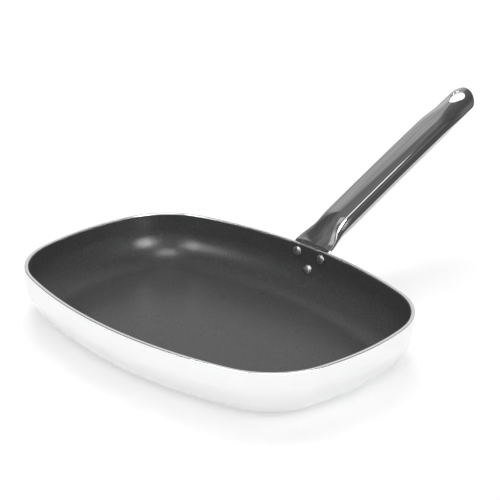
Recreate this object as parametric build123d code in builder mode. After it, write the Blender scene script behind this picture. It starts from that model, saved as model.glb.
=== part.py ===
"""Rectangular frying pan: pressed aluminium body, non-stick lining, riveted tubular steel handle.

The origin is the centre of the flat base's underside. X runs along the pan, Y points from the pan
to the handle and Z is up. Sizes are in millimetres and angles in degrees.
"""

from build123d import *
import math
import os

# Pan body, pressed from aluminium sheet. The rim is four shallow arcs joined by round corners.
rim_length = 360.0
rim_width = 256.0
rim_height = 49.5
long_side_radius = 407.0
end_side_radius = 262.0
corner_radius = 75.0
wall_draft = 2.3
base_radius = 36.5
wall = 3.4
floor = 3.6
rim_edge = 0.7

# Non-stick lining, drawn thicker than the real film so that it is a sound solid.
lining = 0.3
lining_setback = 1.0

# Handle: one steel tube, pressed flat at the pan to a riveted flange and at its tip to a spoon.
handle_length = 246.0
handle_rise = 23.9
handle_bow = 1.0
tube_wall = 1.3
tube_width = 35.0
tube_crown = 9.0
tube_belly = 12.0
tube_side_radius = 6.5
tube_slope = 62.0
flare_length = 28.0
crown_length = 42.0
belly_length = 46.0

# Flange that lies on the pan's wall, and the bend above the rim.
flange_width = 44.0
flange_margin = 8.0
bend_height = 0.1
bend_radius = 2.2
bend_arch = 1.5

# Tip: the underside is pressed up against the crown.
tip_width = 36.0
tip_crown = 9.0
tip_press_start = 62.0
tip_press_end = 27.0
hang_hole_length = 18.5
hang_hole_width = 14.5
hang_hole_small_radius = 4.0
hang_hole_margin = 7.0

# Rivets: two under the rim and one below them.
rivet_spacing = 30.0
rivet_row_drop = 7.6
rivet_row_gap = 15.1
rivet_shank = 4.8
rivet_fit = 0.1
rivet_head = 9.4
rivet_head_height = 2.3
rivet_lip = 0.5
rivet_tail = 8.4
rivet_tail_height = 1.7

# Working lengths that leave no mark on the finished pieces.
overshoot = 10.0
seat_bite = 0.2
rivet_bite = 0.8
flange_trim = 4.0
slot = 0.3

# How finely the lofted stretches of the handle are divided.
flange_sections = 5
bend_sections = 5
opening_sections = 7
tube_sections = 3
press_sections = 6
slot_search_steps = 100

# A Bezier's two poles lift its middle by this share, and this reach makes it a parabola.
pole_lift = 0.75
parabola_reach = 2 / 3

half_length = rim_length / 2
half_width = rim_width / 2
draft = math.radians(wall_draft)
fold = tube_wall
tangent_height = base_radius * (1 - math.sin(draft))
arc_centre_inset = (rim_height - tangent_height) * math.tan(draft) + base_radius * math.cos(draft)


def ease(value, start, end):
    """Rise smoothly from 0 at start to 1 at end."""
    share = min(max((value - start) / (end - start), 0.0), 1.0)
    return share * share * (3 - 2 * share)


def between(first, last, share):
    """The value that lies the given share of the way from first to last."""
    return first + (last - first) * share


def rim_outline(inset):
    """Four overlapping discs leave the bulged rectangle, whose corners are then rounded."""
    long_offset = long_side_radius - half_width
    end_offset = end_side_radius - half_length
    with Locations((-end_offset, 0)):
        Circle(end_side_radius - inset)
    with Locations((end_offset, 0)):
        Circle(end_side_radius - inset, mode=Mode.INTERSECT)
    with Locations((0, -long_offset)):
        Circle(long_side_radius - inset, mode=Mode.INTERSECT)
    with Locations((0, long_offset)):
        Circle(long_side_radius - inset, mode=Mode.INTERSECT)


def pan_form(inset, bottom, top):
    """The drafted dish that lies inset inside the pan's outer skin, between two heights."""
    top_inset = inset + (rim_height - top) * math.tan(draft)
    with BuildPart() as form:
        with BuildSketch(Plane.XY.offset(top)) as outline:
            rim_outline(top_inset)
            fillet(outline.vertices(), corner_radius - top_inset)
        extrude(amount=bottom - top, taper=wall_draft)
        fillet(form.edges().group_by(Axis.Z)[0], base_radius - inset)
    return form.part


def wall_tilt(height):
    """How far the wall's outward normal points below level at this height, in radians."""
    if height > tangent_height:
        return draft
    return math.asin((base_radius - height) / base_radius)


def wall_inset(height):
    """How far the outer skin lies inside the rim's outline at this height."""
    if height > tangent_height:
        return (rim_height - height) * math.tan(draft)
    return arc_centre_inset - base_radius * math.cos(wall_tilt(height))


def wall_plane(across, height):
    """Plane on the outer skin of the handle's side, with its Z pointing straight out of the wall."""
    plan_radius = long_side_radius - wall_inset(height)
    turn = math.asin(across / plan_radius)
    tilt = wall_tilt(height)
    distance = half_width - long_side_radius + plan_radius * math.cos(turn)
    outward = (math.sin(turn) * math.cos(tilt), math.cos(turn) * math.cos(tilt), -math.sin(tilt))
    level = (math.cos(turn), -math.sin(turn), 0)
    return Plane(origin=(across, distance, height), x_dir=level, z_dir=outward)


upper_rivets_height = rim_height - rivet_row_drop
lower_rivet_height = upper_rivets_height - rivet_row_gap
rivet_seats = {
    "rivet_left": wall_plane(-rivet_spacing / 2, upper_rivets_height),
    "rivet_right": wall_plane(rivet_spacing / 2, upper_rivets_height),
    "rivet_lower": wall_plane(0, lower_rivet_height),
}


def rivet_holes():
    """Cut the three rivet holes through whatever the part being built has there."""
    with Locations(*rivet_seats.values()):
        Cylinder(rivet_shank / 2 + rivet_fit, 2 * overshoot, mode=Mode.SUBTRACT)


outer_form = pan_form(0, 0, rim_height)
cavity_form = pan_form(wall, floor, rim_height + overshoot)
lining_form = pan_form(wall + lining, floor + lining, rim_height + overshoot)
seat_form = pan_form(0, 0, rim_height + overshoot)

with BuildPart() as pan_body:
    add(outer_form)
    add(cavity_form, mode=Mode.SUBTRACT)
    fillet(pan_body.edges().group_by(Axis.Z)[-1], rim_edge)
    rivet_holes()
pan_body.part.label = "pan_body"

with BuildPart() as nonstick_coating:
    add(cavity_form)
    add(lining_form, mode=Mode.SUBTRACT)
    split(bisect_by=Plane.XY.offset(rim_height - lining_setback), keep=Keep.BOTTOM)
    rivet_holes()
nonstick_coating.part.label = "nonstick_coating"


# The handle's path runs up the middle of the pressed flange, round the bend and along the tube.
flange_sagitta = long_side_radius - math.sqrt(long_side_radius**2 - (flange_width / 2) ** 2)
flange_offset = fold - flange_sagitta - seat_bite
flange_thickness = 2 * fold - seat_bite
flange_bottom = lower_rivet_height - flange_margin - flange_trim
rise = math.radians(handle_rise)
bow_slope = 4 * handle_bow / handle_length
bow_angle = math.atan(bow_slope)
bend_turn = math.pi / 2 - draft - rise - bow_angle
bend_tangent = bend_radius * math.tan(bend_turn / 2)
corner_y = half_width + bend_height * math.tan(draft) + flange_offset / math.cos(draft)
corner_z = rim_height + bend_height
press_start = handle_length - tip_press_start
press_end = handle_length - tip_press_end


def path_plane(y, z, angle):
    """Section plane across the path, with its Y away from the hand's palm and towards the pan."""
    return Plane(origin=(0, y, z), x_dir=(1, 0, 0), z_dir=(0, -math.cos(angle), -math.sin(angle)))


def handle_plane(distance):
    """Section plane at this distance along the handle, whose bow is a parabola, from the bend."""
    share = distance / handle_length
    lift = bow_slope * distance * (1 - share)
    y = corner_y + distance * math.cos(rise) - lift * math.sin(rise)
    z = corner_z + distance * math.sin(rise) + lift * math.cos(rise)
    return path_plane(y, z, rise + math.atan(bow_slope * (1 - 2 * share)))


def section(plane, half, side, top_slope, top_reach, low_slope, low_reach):
    """One closed cross-section of the tube, whose sides are arcs of radius side.

    The slopes are where the crown and the underside leave the sides. A positive low slope bulges
    down as a tube does, and a negative one nests the underside into the crown.
    """
    top_x = half - side + side * math.sin(top_slope)
    top_y = side * math.cos(top_slope)
    low_x = half - side + side * math.sin(low_slope)
    low_y = -side * math.cos(low_slope)
    top_pole = (top_x - top_reach, top_y + top_reach * math.tan(top_slope))
    low_pole = (low_x - low_reach, low_y - low_reach * math.tan(low_slope))
    with BuildSketch(plane) as outline:
        with BuildLine():
            Bezier((-top_x, top_y), (-top_pole[0], top_pole[1]), top_pole, (top_x, top_y))
            ThreePointArc((top_x, top_y), (half, 0), (low_x, low_y))
            Bezier((low_x, low_y), low_pole, (-low_pole[0], low_pole[1]), (-low_x, low_y))
            ThreePointArc((-low_x, low_y), (-half, 0), (-top_x, top_y))
        make_face()
    return outline.sketch


def shallow_slope(crown, half):
    """Slope at the edges of a shallow crowned plate."""
    return math.atan2(2 * crown, half - fold)


def pressed_section(plane, crown):
    """Both layers of the tube pressed together to a plate as wide as the flange."""
    half = flange_width / 2
    slope = shallow_slope(crown, half)
    reach = (half - fold) * parabola_reach
    return section(plane, half, fold, slope, reach, -slope, reach)


def tube_side(distance):
    """Radius of the tube's sides, which is the tube's own wall where it is pressed flat."""
    opened = ease(distance, bend_tangent, crown_length)
    pressed = ease(distance, press_start, press_end)
    return between(fold, tube_side_radius, opened * (1 - pressed))


def tube_section(distance, inset):
    """Cross-section of the tube's outside, or of its hollow when inset is the tube's wall."""
    narrowed = ease(distance, bend_tangent, flare_length)
    opened = ease(distance, bend_tangent, crown_length)
    bellied = ease(distance, bend_tangent, belly_length)
    pressed = ease(distance, press_start, press_end)
    half = between(between(flange_width, tube_width, narrowed), tip_width, pressed) / 2 - inset
    side = tube_side(distance) - inset
    bend_slope = shallow_slope(bend_arch, flange_width / 2)
    tip_slope = shallow_slope(tip_crown - fold, tip_width / 2)
    open_slope = math.radians(tube_slope)
    top_slope = between(between(bend_slope, open_slope, opened), tip_slope, pressed)
    low_slope = between(between(-bend_slope, open_slope, bellied), -tip_slope, pressed)
    peak = between(between(fold + bend_arch, tube_crown, opened), tip_crown, pressed) - inset
    top_reach = (peak - side * math.cos(top_slope)) / (pole_lift * math.tan(top_slope))
    low_half = half - side + side * math.sin(low_slope)
    open_half = tube_width / 2 - tube_side_radius * (1 - math.sin(open_slope))
    belly_drop = tube_belly - tube_side_radius * math.cos(open_slope)
    belly_run = belly_drop / (pole_lift * math.tan(open_slope)) / open_half
    low_run = between(between(parabola_reach, belly_run, bellied), parabola_reach, pressed)
    plane = handle_plane(distance)
    return section(plane, half, side, top_slope, top_reach, low_slope, low_run * low_half)


def spaced(start, end, count):
    """Evenly spaced distances from start to end, both included."""
    return [between(start, end, step / (count - 1)) for step in range(count)]


flange_top = corner_z - bend_tangent * math.cos(draft)
bend_start_y = corner_y - bend_tangent * math.sin(draft)
bend_centre_y = bend_start_y + bend_radius * math.cos(draft)
bend_centre_z = flange_top - bend_radius * math.sin(draft)
opening_end = max(flare_length, crown_length, belly_length)
tube_spans = [
    spaced(bend_tangent, opening_end, opening_sections),
    spaced(opening_end, press_start, tube_sections),
    spaced(press_start, press_end, press_sections),
]
tip_span = (press_end, handle_length + overshoot / 2)


def hollow_span(distances):
    """The evenly spaced distances between the ends of the part of a span that is open inside."""
    steps = spaced(distances[0], distances[-1], slot_search_steps)
    open_steps = [distance for distance in steps if tube_side(distance) > tube_wall + slot]
    return spaced(open_steps[0], open_steps[-1], len(distances))


def bend_section(share):
    """Cross-section after this share of the bend, whose crown rises from the wall's hollow."""
    angle = math.pi / 2 - draft - bend_turn * share
    y = bend_centre_y - bend_radius * math.sin(angle)
    z = bend_centre_z + bend_radius * math.cos(angle)
    return pressed_section(path_plane(y, z, angle), between(-flange_sagitta, bend_arch, share))


def flange_section(height):
    """Cross-section of the flange where its middle follows the wall at this height."""
    seat = wall_plane(0, height)
    middle = seat.origin + seat.z_dir * flange_offset
    plane = path_plane(middle.Y, middle.Z, math.pi / 2 - wall_tilt(height))
    return pressed_section(plane, -flange_sagitta)


def across_handle(distance):
    """Plane that looks straight down on the handle's crown, with its Y pointing to the tip."""
    crossing = handle_plane(distance)
    return Plane(origin=crossing.origin, x_dir=(1, 0, 0), z_dir=crossing.y_dir)


with BuildSketch(Plane.XZ) as flange_outline:
    with Locations(
        (-rivet_spacing / 2, upper_rivets_height),
        (rivet_spacing / 2, upper_rivets_height),
    ):
        Circle((flange_width - rivet_spacing) / 2)
    with Locations((0, lower_rivet_height)):
        Circle(flange_margin)
    make_hull()

# Each stretch ends on the very section that the next one starts on, so that they join up.
flange_heights = spaced(flange_bottom, flange_top, flange_sections)[:-1]
bend_shares = spaced(0, 1, bend_sections)[:-1]

with BuildPart() as handle:
    loft([flange_section(height) for height in flange_heights] + [bend_section(0)])
    loft([bend_section(share) for share in bend_shares] + [tube_section(bend_tangent, 0)])
    for distances in (*tube_spans, tip_span):
        loft([tube_section(distance, 0) for distance in distances])
    for distances in tube_spans:
        hollow = [tube_section(distance, tube_wall) for distance in hollow_span(distances)]
        loft(hollow, mode=Mode.SUBTRACT)
    add(seat_form, mode=Mode.SUBTRACT)
    with BuildSketch(Plane.XZ):
        with Locations((0, upper_rivets_height)):
            Rectangle(2 * flange_width, 2 * rim_height, align=(Align.CENTER, Align.MAX))
        add(flange_outline.sketch, mode=Mode.SUBTRACT)
    extrude(amount=-rim_width, mode=Mode.SUBTRACT)
    with BuildSketch(across_handle(handle_length - tip_width / 2)):
        Rectangle(2 * tip_width, tip_width, align=(Align.CENTER, Align.MIN))
        Circle(tip_width / 2, mode=Mode.SUBTRACT)
    extrude(amount=tip_width, both=True, mode=Mode.SUBTRACT)
    with BuildSketch(across_handle(handle_length - hang_hole_margin - hang_hole_length / 2)):
        with Locations((0, (hang_hole_length - hang_hole_width) / 2)):
            Circle(hang_hole_width / 2)
        with Locations((0, hang_hole_small_radius - hang_hole_length / 2)):
            Circle(hang_hole_small_radius)
        make_hull()
    extrude(amount=tip_width, both=True, mode=Mode.SUBTRACT)
    rivet_holes()
handle.part.label = "handle"

inner_face = -(wall + lining)
outer_face = flange_thickness
parts = [pan_body, nonstick_coating, handle]
for name, seat in rivet_seats.items():
    with BuildPart() as rivet:
        for face, side, radius, height in (
            (inner_face, -1, rivet_head / 2, rivet_head_height),
            (outer_face, 1, rivet_tail / 2, rivet_tail_height),
        ):
            with BuildSketch(Plane(origin=seat.origin, x_dir=seat.x_dir, z_dir=-seat.y_dir)):
                with BuildLine():
                    apex = (0, face + side * height)
                    lip = (radius, face + side * rivet_lip)
                    root = face - side * rivet_bite
                    Polyline(apex, (0, root), (radius, root), lip)
                    TangentArc(apex, lip, tangent=(1, 0))
                make_face()
            revolve(axis=Axis(seat.origin, seat.z_dir))
        for neighbour in (pan_body, nonstick_coating, handle):
            add(neighbour.part, mode=Mode.SUBTRACT)
        with BuildSketch(seat.offset(inner_face)):
            Circle(rivet_shank / 2)
        extrude(amount=outer_face - inner_face)
    rivet.part.label = name
    parts.append(rivet)

os.makedirs("parts", exist_ok=True)
for piece in parts:
    export_step(piece.part, f"parts/{piece.part.label}.step")
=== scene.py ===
"""Looks of a rectangular non-stick frying pan with a riveted tubular handle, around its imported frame.

Every length is in metres and every angle in radians unless a name ends in _deg. The origin is the
middle of the flat base's underside, +X runs along the pan, +Y towards the handle's tip and +Z up.
"""

from __future__ import annotations

import logging
import math
from dataclasses import dataclass
from enum import Enum
from typing import Any, Iterable, Sequence

import bmesh
import bpy
import numpy as np
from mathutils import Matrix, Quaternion, Vector

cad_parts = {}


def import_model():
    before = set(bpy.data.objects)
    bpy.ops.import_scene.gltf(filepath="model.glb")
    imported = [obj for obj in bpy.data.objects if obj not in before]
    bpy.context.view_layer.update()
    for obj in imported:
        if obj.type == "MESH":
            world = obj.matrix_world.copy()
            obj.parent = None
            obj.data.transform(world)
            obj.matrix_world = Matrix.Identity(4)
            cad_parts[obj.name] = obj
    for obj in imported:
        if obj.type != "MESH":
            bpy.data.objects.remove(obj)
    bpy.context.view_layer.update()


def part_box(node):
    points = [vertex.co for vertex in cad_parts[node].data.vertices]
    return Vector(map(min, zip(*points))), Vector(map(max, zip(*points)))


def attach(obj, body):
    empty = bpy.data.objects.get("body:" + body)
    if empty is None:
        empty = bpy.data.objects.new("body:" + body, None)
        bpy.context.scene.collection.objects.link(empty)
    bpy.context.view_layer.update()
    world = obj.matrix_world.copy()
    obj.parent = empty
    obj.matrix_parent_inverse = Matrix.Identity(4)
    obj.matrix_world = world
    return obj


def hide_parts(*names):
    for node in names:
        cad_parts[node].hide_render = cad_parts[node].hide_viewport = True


LOG = logging.getLogger("frying_pan")
MM = 0.001
BODY = "root"
MERGE_DISTANCE = 2e-6  # points nearer to each other than this are one
HALVINGS = 40  # steps of a search that halves its range each time

Colour = tuple[float, float, float, float]
BLACK: Colour = (0.0, 0.0, 0.0, 1.0)
WHITE: Colour = (1.0, 1.0, 1.0, 1.0)


class Slot(Enum):
    """The record's material slots."""

    BODY = "pressed_aluminium"
    LINING = "nonstick_lining"
    HANDLE = "polished_steel"
    RIVETS = "rivet_aluminium"


def ease(value: float, start: float, end: float) -> float:
    """Rise smoothly from 0 at start to 1 at end.

    Args:
        value: The place to judge.
        start: Where the rise begins.
        end: Where the rise is complete.

    Returns:
        A share from 0 to 1.
    """
    share = min(max((value - start) / (end - start), 0.0), 1.0)
    return share * share * (3 - 2 * share)


def between(first: float, last: float, share: float) -> float:
    """Return the value that lies the given share of the way from first to last."""
    return first + (last - first) * share


def darkened(colour: Colour, share: float) -> Colour:
    """Return a colour with this share of its brightness."""
    red, green, blue, _ = colour
    return (share * red, share * green, share * blue, 1.0)


@dataclass(frozen=True)
class Value:
    """A number, colour or vector inside a node tree, on which Python arithmetic adds nodes.

    Args:
        nodes: The tree that new nodes go into.
        socket: The output socket that carries the value.
    """

    nodes: "Nodes"
    socket: bpy.types.NodeSocket

    def apply(self, operation: str, *operands: Any) -> "Value":
        """Return the result of a new Math node."""
        node = self.nodes.node("ShaderNodeMath", {"operation": operation}, dict(enumerate(operands)))
        return self.nodes.out(node)

    def __add__(self, other: Any) -> "Value":
        """Return the sum."""
        return self.apply("ADD", self, other)

    __radd__ = __add__

    def __sub__(self, other: Any) -> "Value":
        """Return the difference."""
        return self.apply("SUBTRACT", self, other)

    def __rsub__(self, other: Any) -> "Value":
        """Return the difference, with this value taken away."""
        return self.apply("SUBTRACT", other, self)

    def __mul__(self, other: Any) -> "Value":
        """Return the product."""
        return self.apply("MULTIPLY", self, other)

    __rmul__ = __mul__

    def __truediv__(self, other: Any) -> "Value":
        """Return the quotient."""
        return self.apply("DIVIDE", self, other)

    def sine(self) -> "Value":
        """Return the sine of an angle."""
        return self.apply("SINE", self)

    def cosine(self) -> "Value":
        """Return the cosine of an angle."""
        return self.apply("COSINE", self)

    def least(self, other: Any) -> "Value":
        """Return the smaller of the two."""
        return self.apply("MINIMUM", self, other)

    def most(self, other: Any) -> "Value":
        """Return the larger of the two."""
        return self.apply("MAXIMUM", self, other)

    def mixed(self, other: "Value", share: float) -> "Value":
        """Return this pattern with this share of another one in it."""
        return self * (1 - share) + other * share

    def swing(self, reach: float) -> "Value":
        """Return a pattern from 0 to 1 as a change about 0, of this reach from end to end."""
        return (self - 0.5) * reach

    def smooth(self, start: float, end: float) -> "Value":
        """Rise smoothly from 0 at start to 1 at end, or fall if end is below start.

        Args:
            start: Where the rise begins.
            end: Where it is complete.

        Returns:
            The share, from 0 to 1.
        """
        low, high, first, last = (start, end, 0.0, 1.0) if start < end else (end, start, 1.0, 0.0)
        node = self.nodes.node(
            "ShaderNodeMapRange",
            {"interpolation_type": "SMOOTHSTEP"},
            {"Value": self, "From Min": low, "From Max": high, "To Min": first, "To Max": last},
        )
        return self.nodes.out(node)


class Nodes:
    """Adds nodes to one node tree.

    Args:
        tree: The shader or geometry node tree.
    """

    def __init__(self, tree: bpy.types.NodeTree) -> None:
        """Keep the tree."""
        self.tree = tree

    def node(
        self, kind: str, settings: dict[str, Any] | None = None, inputs: dict[Any, Any] | None = None
    ) -> bpy.types.Node:
        """Add one node.

        Args:
            kind: The node's type.
            settings: Values of the node's own properties, which are set first.
            inputs: A number, colour or link for each named or numbered socket.

        Returns:
            The node.
        """
        made = self.tree.nodes.new(kind)
        for name, value in (settings or {}).items():
            setattr(made, name, value)
        for name, value in (inputs or {}).items():
            self.feed(made, name, value)
        return made

    def feed(self, node: bpy.types.Node, name: Any, value: Any) -> None:
        """Link or set one input socket of a node.

        Args:
            node: The node.
            name: The socket's name or number.
            value: A value, a node whose first output is meant, a socket, or a plain setting.
        """
        if isinstance(value, Value):
            value = value.socket
        elif isinstance(value, bpy.types.Node):
            value = value.outputs[0]
        if isinstance(value, bpy.types.NodeSocket):
            self.tree.links.new(value, node.inputs[name])
        else:
            node.inputs[name].default_value = value

    def out(self, node: bpy.types.Node, name: Any = 0) -> Value:
        """Return a node's output as a value."""
        return Value(self, node.outputs[name])

    def blend(self, first: Any, second: Any, factor: Any) -> Value:
        """Mix two colours.

        Args:
            first: The colour at factor 0.
            second: The colour at factor 1.
            factor: The share of the second.

        Returns:
            The mixed colour.
        """
        node = self.node("ShaderNodeMix", {"data_type": "RGBA"}, {0: factor, 6: first, 7: second})
        return self.out(node, 2)

    def vector(self, x: Any, y: Any, z: Any) -> Value:
        """Return a vector made of three numbers."""
        return self.out(self.node("ShaderNodeCombineXYZ", {}, {0: x, 1: y, 2: z}))

    def parts(self, vector: Any) -> tuple[Value, Value, Value]:
        """Return the three numbers of a vector."""
        node = self.node("ShaderNodeSeparateXYZ", {}, {0: vector})
        return self.out(node, 0), self.out(node, 1), self.out(node, 2)

    def along(self, vector: Any, direction: Vector) -> Value:
        """Return how far a vector reaches along a direction."""
        inputs = {0: vector, 1: tuple(direction)}
        return self.out(self.node("ShaderNodeVectorMath", {"operation": "DOT_PRODUCT"}, inputs), "Value")

    def length(self, vector: Any) -> Value:
        """Return the length of a vector."""
        return self.out(self.node("ShaderNodeVectorMath", {"operation": "LENGTH"}, {0: vector}), "Value")


class Shader(Nodes):
    """A new material with one Principled surface.

    Args:
        name: The material's name.
    """

    def __init__(self, name: str) -> None:
        """Start the material with its output and its Object coordinates.

        Args:
            name: The material's name.
        """
        self.material = bpy.data.materials.new(name)
        self.material.use_nodes = True
        super().__init__(self.material.node_tree)
        self.tree.nodes.clear()
        self.output = self.node("ShaderNodeOutputMaterial")
        self.coordinates = self.out(self.node("ShaderNodeTexCoord"), "Object")

    def stretched(self, scale: Sequence[float], turn: Sequence[float] = (0.0, 0.0, 0.0)) -> Value:
        """Return Object coordinates, turned and then scaled along their new axes.

        Args:
            scale: The scale along each axis.
            turn: The angles to turn by first.

        Returns:
            The coordinates.
        """
        inputs = {"Vector": self.coordinates, "Rotation": turn}
        turned = self.node("ShaderNodeMapping", {"vector_type": "POINT"}, inputs)
        return self.out(self.node("ShaderNodeVectorMath", {"operation": "MULTIPLY"}, {0: turned, 1: scale}))

    def noise(self, vector: Any, scale: float = 1.0, detail: float = 2.0, roughness: float = 0.5) -> Value:
        """Return a noise pattern from 0 to 1.

        Args:
            vector: The coordinates that it follows.
            scale: How fine it is.
            detail: How many finer layers it has.
            roughness: How strong these are.

        Returns:
            The pattern.
        """
        inputs = {"Vector": vector, "Scale": scale, "Detail": detail, "Roughness": roughness}
        return self.out(self.node("ShaderNodeTexNoise", {"noise_dimensions": "3D"}, inputs), "Fac")

    def bump(self, height: Any, strength: float, distance: float) -> Value:
        """Return a normal that is tilted by a height pattern."""
        inputs = {"Height": height, "Strength": strength, "Distance": distance}
        return self.out(self.node("ShaderNodeBump", {}, inputs))

    def surface(self, **inputs: Any) -> bpy.types.Material:
        """Finish the material with a Principled surface.

        Args:
            inputs: Socket values, with the socket's name written with underscores.

        Returns:
            The material.
        """
        named = {name.replace("_", " "): value for name, value in inputs.items()}
        node = self.node("ShaderNodeBsdfPrincipled", {}, named)
        self.feed(self.output, "Surface", node)
        return self.material


@dataclass(frozen=True)
class PressedAluminium:
    """Satin pressed aluminium, with faint level draw lines and a smoother trimmed rim.

    Args:
        rim_height: Height of the rim's top.
        colour: The metal's reflected colour.
        roughness: The satin wall's roughness.
        rim_roughness: The roughness of the trimmed rim.
        trimmed: How far below the rim's top the trimmed band begins and is complete.
        line_stretch: How fine the draw lines are along each axis.
        cloud_scale: How fine the soft clouds in the satin are.
        grain_scale: How fine the grain is.
        dark_share: Brightness of the lines' darker parts.
    """

    rim_height: float
    colour: Colour = (0.9, 0.9, 0.905, 1.0)
    roughness: float = 0.36
    rim_roughness: float = 0.22
    trimmed: tuple[float, float] = (1.6 * MM, 0.8 * MM)
    line_stretch: tuple[float, float, float] = (14.0, 14.0, 1900.0)
    cloud_scale: float = 38.0
    grain_scale: float = 2600.0
    dark_share: float = 0.94

    def material(self) -> bpy.types.Material:
        """Build the material.

        Returns:
            The material.
        """
        shader = Shader("pressed_aluminium")
        height = shader.parts(shader.coordinates)[2]
        rim = height.smooth(self.rim_height - self.trimmed[0], self.rim_height - self.trimmed[1])
        lines = shader.noise(shader.stretched(self.line_stretch), detail=3.0)
        clouds = shader.noise(shader.coordinates, self.cloud_scale, detail=3.0)
        grain = shader.noise(shader.coordinates, self.grain_scale)
        darker = darkened(self.colour, self.dark_share)
        colour = shader.blend(self.colour, darker, lines.mixed(clouds, share=0.4))
        satin = self.roughness + clouds.swing(reach=0.08) + lines.swing(reach=0.1)
        roughness = satin * (1 - rim) + rim * self.rim_roughness
        normal = shader.bump(lines.mixed(grain, share=0.3), strength=0.12, distance=0.05 * MM)
        return shader.surface(Base_Color=colour, Metallic=1.0, Roughness=roughness, Normal=normal)


@dataclass(frozen=True)
class NonstickLining:
    """Dark non-stick film with a fine orange-peel grain, faint scuffs and a low sheen.

    Args:
        colour: The film's own colour.
        fleck: The colour of its finest flecks.
        roughness: The film's roughness.
        specular: How strongly it reflects.
        grain_scale: How fine the flecks and the grain are.
        peel_scale: How fine the orange peel is.
        cloud_scale: How fine the changes of its sheen are.
        scuff_stretch: How fine the scuffs are along their own axes.
        scuff_turn: How far the scuffs lie across the pan.
        fleck_edge: Where in the grain a fleck begins and is complete.
        scuff_edge: Where in its pattern a scuff begins and is complete.
        fleck_tone: How much of the fleck's colour a fleck shows.
        scuff_tone: How much of it a scuff shows.
        scuff_polish: How much smoother a scuff is.
    """

    colour: Colour = (0.058, 0.058, 0.06, 1.0)
    fleck: Colour = (0.118, 0.118, 0.121, 1.0)
    roughness: float = 0.3
    specular: float = 0.35
    grain_scale: float = 850.0
    peel_scale: float = 620.0
    cloud_scale: float = 24.0
    scuff_stretch: tuple[float, float, float] = (210.0, 26.0, 60.0)
    scuff_turn: float = 0.55
    fleck_edge: tuple[float, float] = (0.42, 0.68)
    scuff_edge: tuple[float, float] = (0.6, 0.78)
    fleck_tone: float = 0.7
    scuff_tone: float = 0.35
    scuff_polish: float = 0.05

    def material(self) -> bpy.types.Material:
        """Build the material.

        Returns:
            The material.
        """
        shader = Shader("nonstick_lining")
        grain = shader.noise(shader.coordinates, self.grain_scale, detail=3.0, roughness=0.7)
        peel = shader.noise(shader.coordinates, self.peel_scale)
        clouds = shader.noise(shader.coordinates, self.cloud_scale, detail=3.0)
        across = shader.stretched(self.scuff_stretch, (0.0, 0.0, self.scuff_turn))
        scuffs = shader.noise(across, detail=4.0, roughness=0.65)
        scuff = scuffs.smooth(*self.scuff_edge)
        flecks = grain.smooth(*self.fleck_edge)
        tone = flecks * self.fleck_tone + scuff * self.scuff_tone
        colour = shader.blend(self.colour, self.fleck, tone)
        film = self.roughness + clouds.swing(reach=0.08) + grain.swing(reach=0.12)
        roughness = film - scuff * self.scuff_polish
        normal = shader.bump(grain.mixed(peel, share=0.5), strength=0.35, distance=0.06 * MM)
        return shader.surface(
            Base_Color=colour, Roughness=roughness, Specular_IOR_Level=self.specular, Normal=normal
        )


@dataclass(frozen=True)
class PolishedSteel:
    """Polished stainless steel, with fine lines drawn along the handle.

    Args:
        rise: Angle of the handle above level, along which the lines run.
        colour: The steel's reflected colour.
        roughness: How blurred its reflections are.
        line_stretch: How fine the drawn lines are along each axis.
        band_stretch: How fine the broader bands among them are.
        cloud_scale: How fine the changes of its polish are.
        dark_share: Brightness of the darker lines.
        line_edge: Where in the pattern a darker line begins and is complete.
    """

    rise: float
    colour: Colour = (0.66, 0.66, 0.665, 1.0)
    roughness: float = 0.07
    line_stretch: tuple[float, float, float] = (620.0, 9.0, 620.0)
    band_stretch: tuple[float, float, float] = (150.0, 4.0, 150.0)
    cloud_scale: float = 60.0
    dark_share: float = 0.68
    line_edge: tuple[float, float] = (0.35, 0.65)

    def material(self) -> bpy.types.Material:
        """Build the material.

        Returns:
            The material.
        """
        shader = Shader("polished_steel")
        level = (-self.rise, 0.0, 0.0)
        lines = shader.noise(shader.stretched(self.line_stretch, level), detail=4.0, roughness=0.6)
        bands = shader.noise(shader.stretched(self.band_stretch, level))
        clouds = shader.noise(shader.coordinates, self.cloud_scale)
        darker = darkened(self.colour, self.dark_share)
        colour = shader.blend(self.colour, darker, lines.mixed(bands, share=0.4).smooth(*self.line_edge))
        roughness = self.roughness + lines.swing(reach=0.1) + clouds.swing(reach=0.04)
        normal = shader.bump(lines.mixed(bands, share=0.5), strength=0.1, distance=0.04 * MM)
        return shader.surface(Base_Color=colour, Metallic=1.0, Roughness=roughness, Normal=normal)


@dataclass(frozen=True)
class RivetAluminium:
    """Burnished aluminium of the formed rivet heads.

    Args:
        colour: The metal's reflected colour.
        roughness: How blurred its reflections are.
        cloud_scale: How fine its marks are.
        dark_share: Brightness of the darker marks.
    """

    colour: Colour = (0.4, 0.4, 0.405, 1.0)
    roughness: float = 0.42
    cloud_scale: float = 420.0
    dark_share: float = 0.75

    def material(self) -> bpy.types.Material:
        """Build the material.

        Returns:
            The material.
        """
        shader = Shader("rivet_aluminium")
        clouds = shader.noise(shader.coordinates, self.cloud_scale, detail=3.0)
        colour = shader.blend(self.colour, darkened(self.colour, self.dark_share), clouds)
        normal = shader.bump(clouds, strength=0.15, distance=0.05 * MM)
        roughness = self.roughness + clouds.swing(reach=0.12)
        return shader.surface(Base_Color=colour, Metallic=1.0, Roughness=roughness, Normal=normal)


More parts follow.
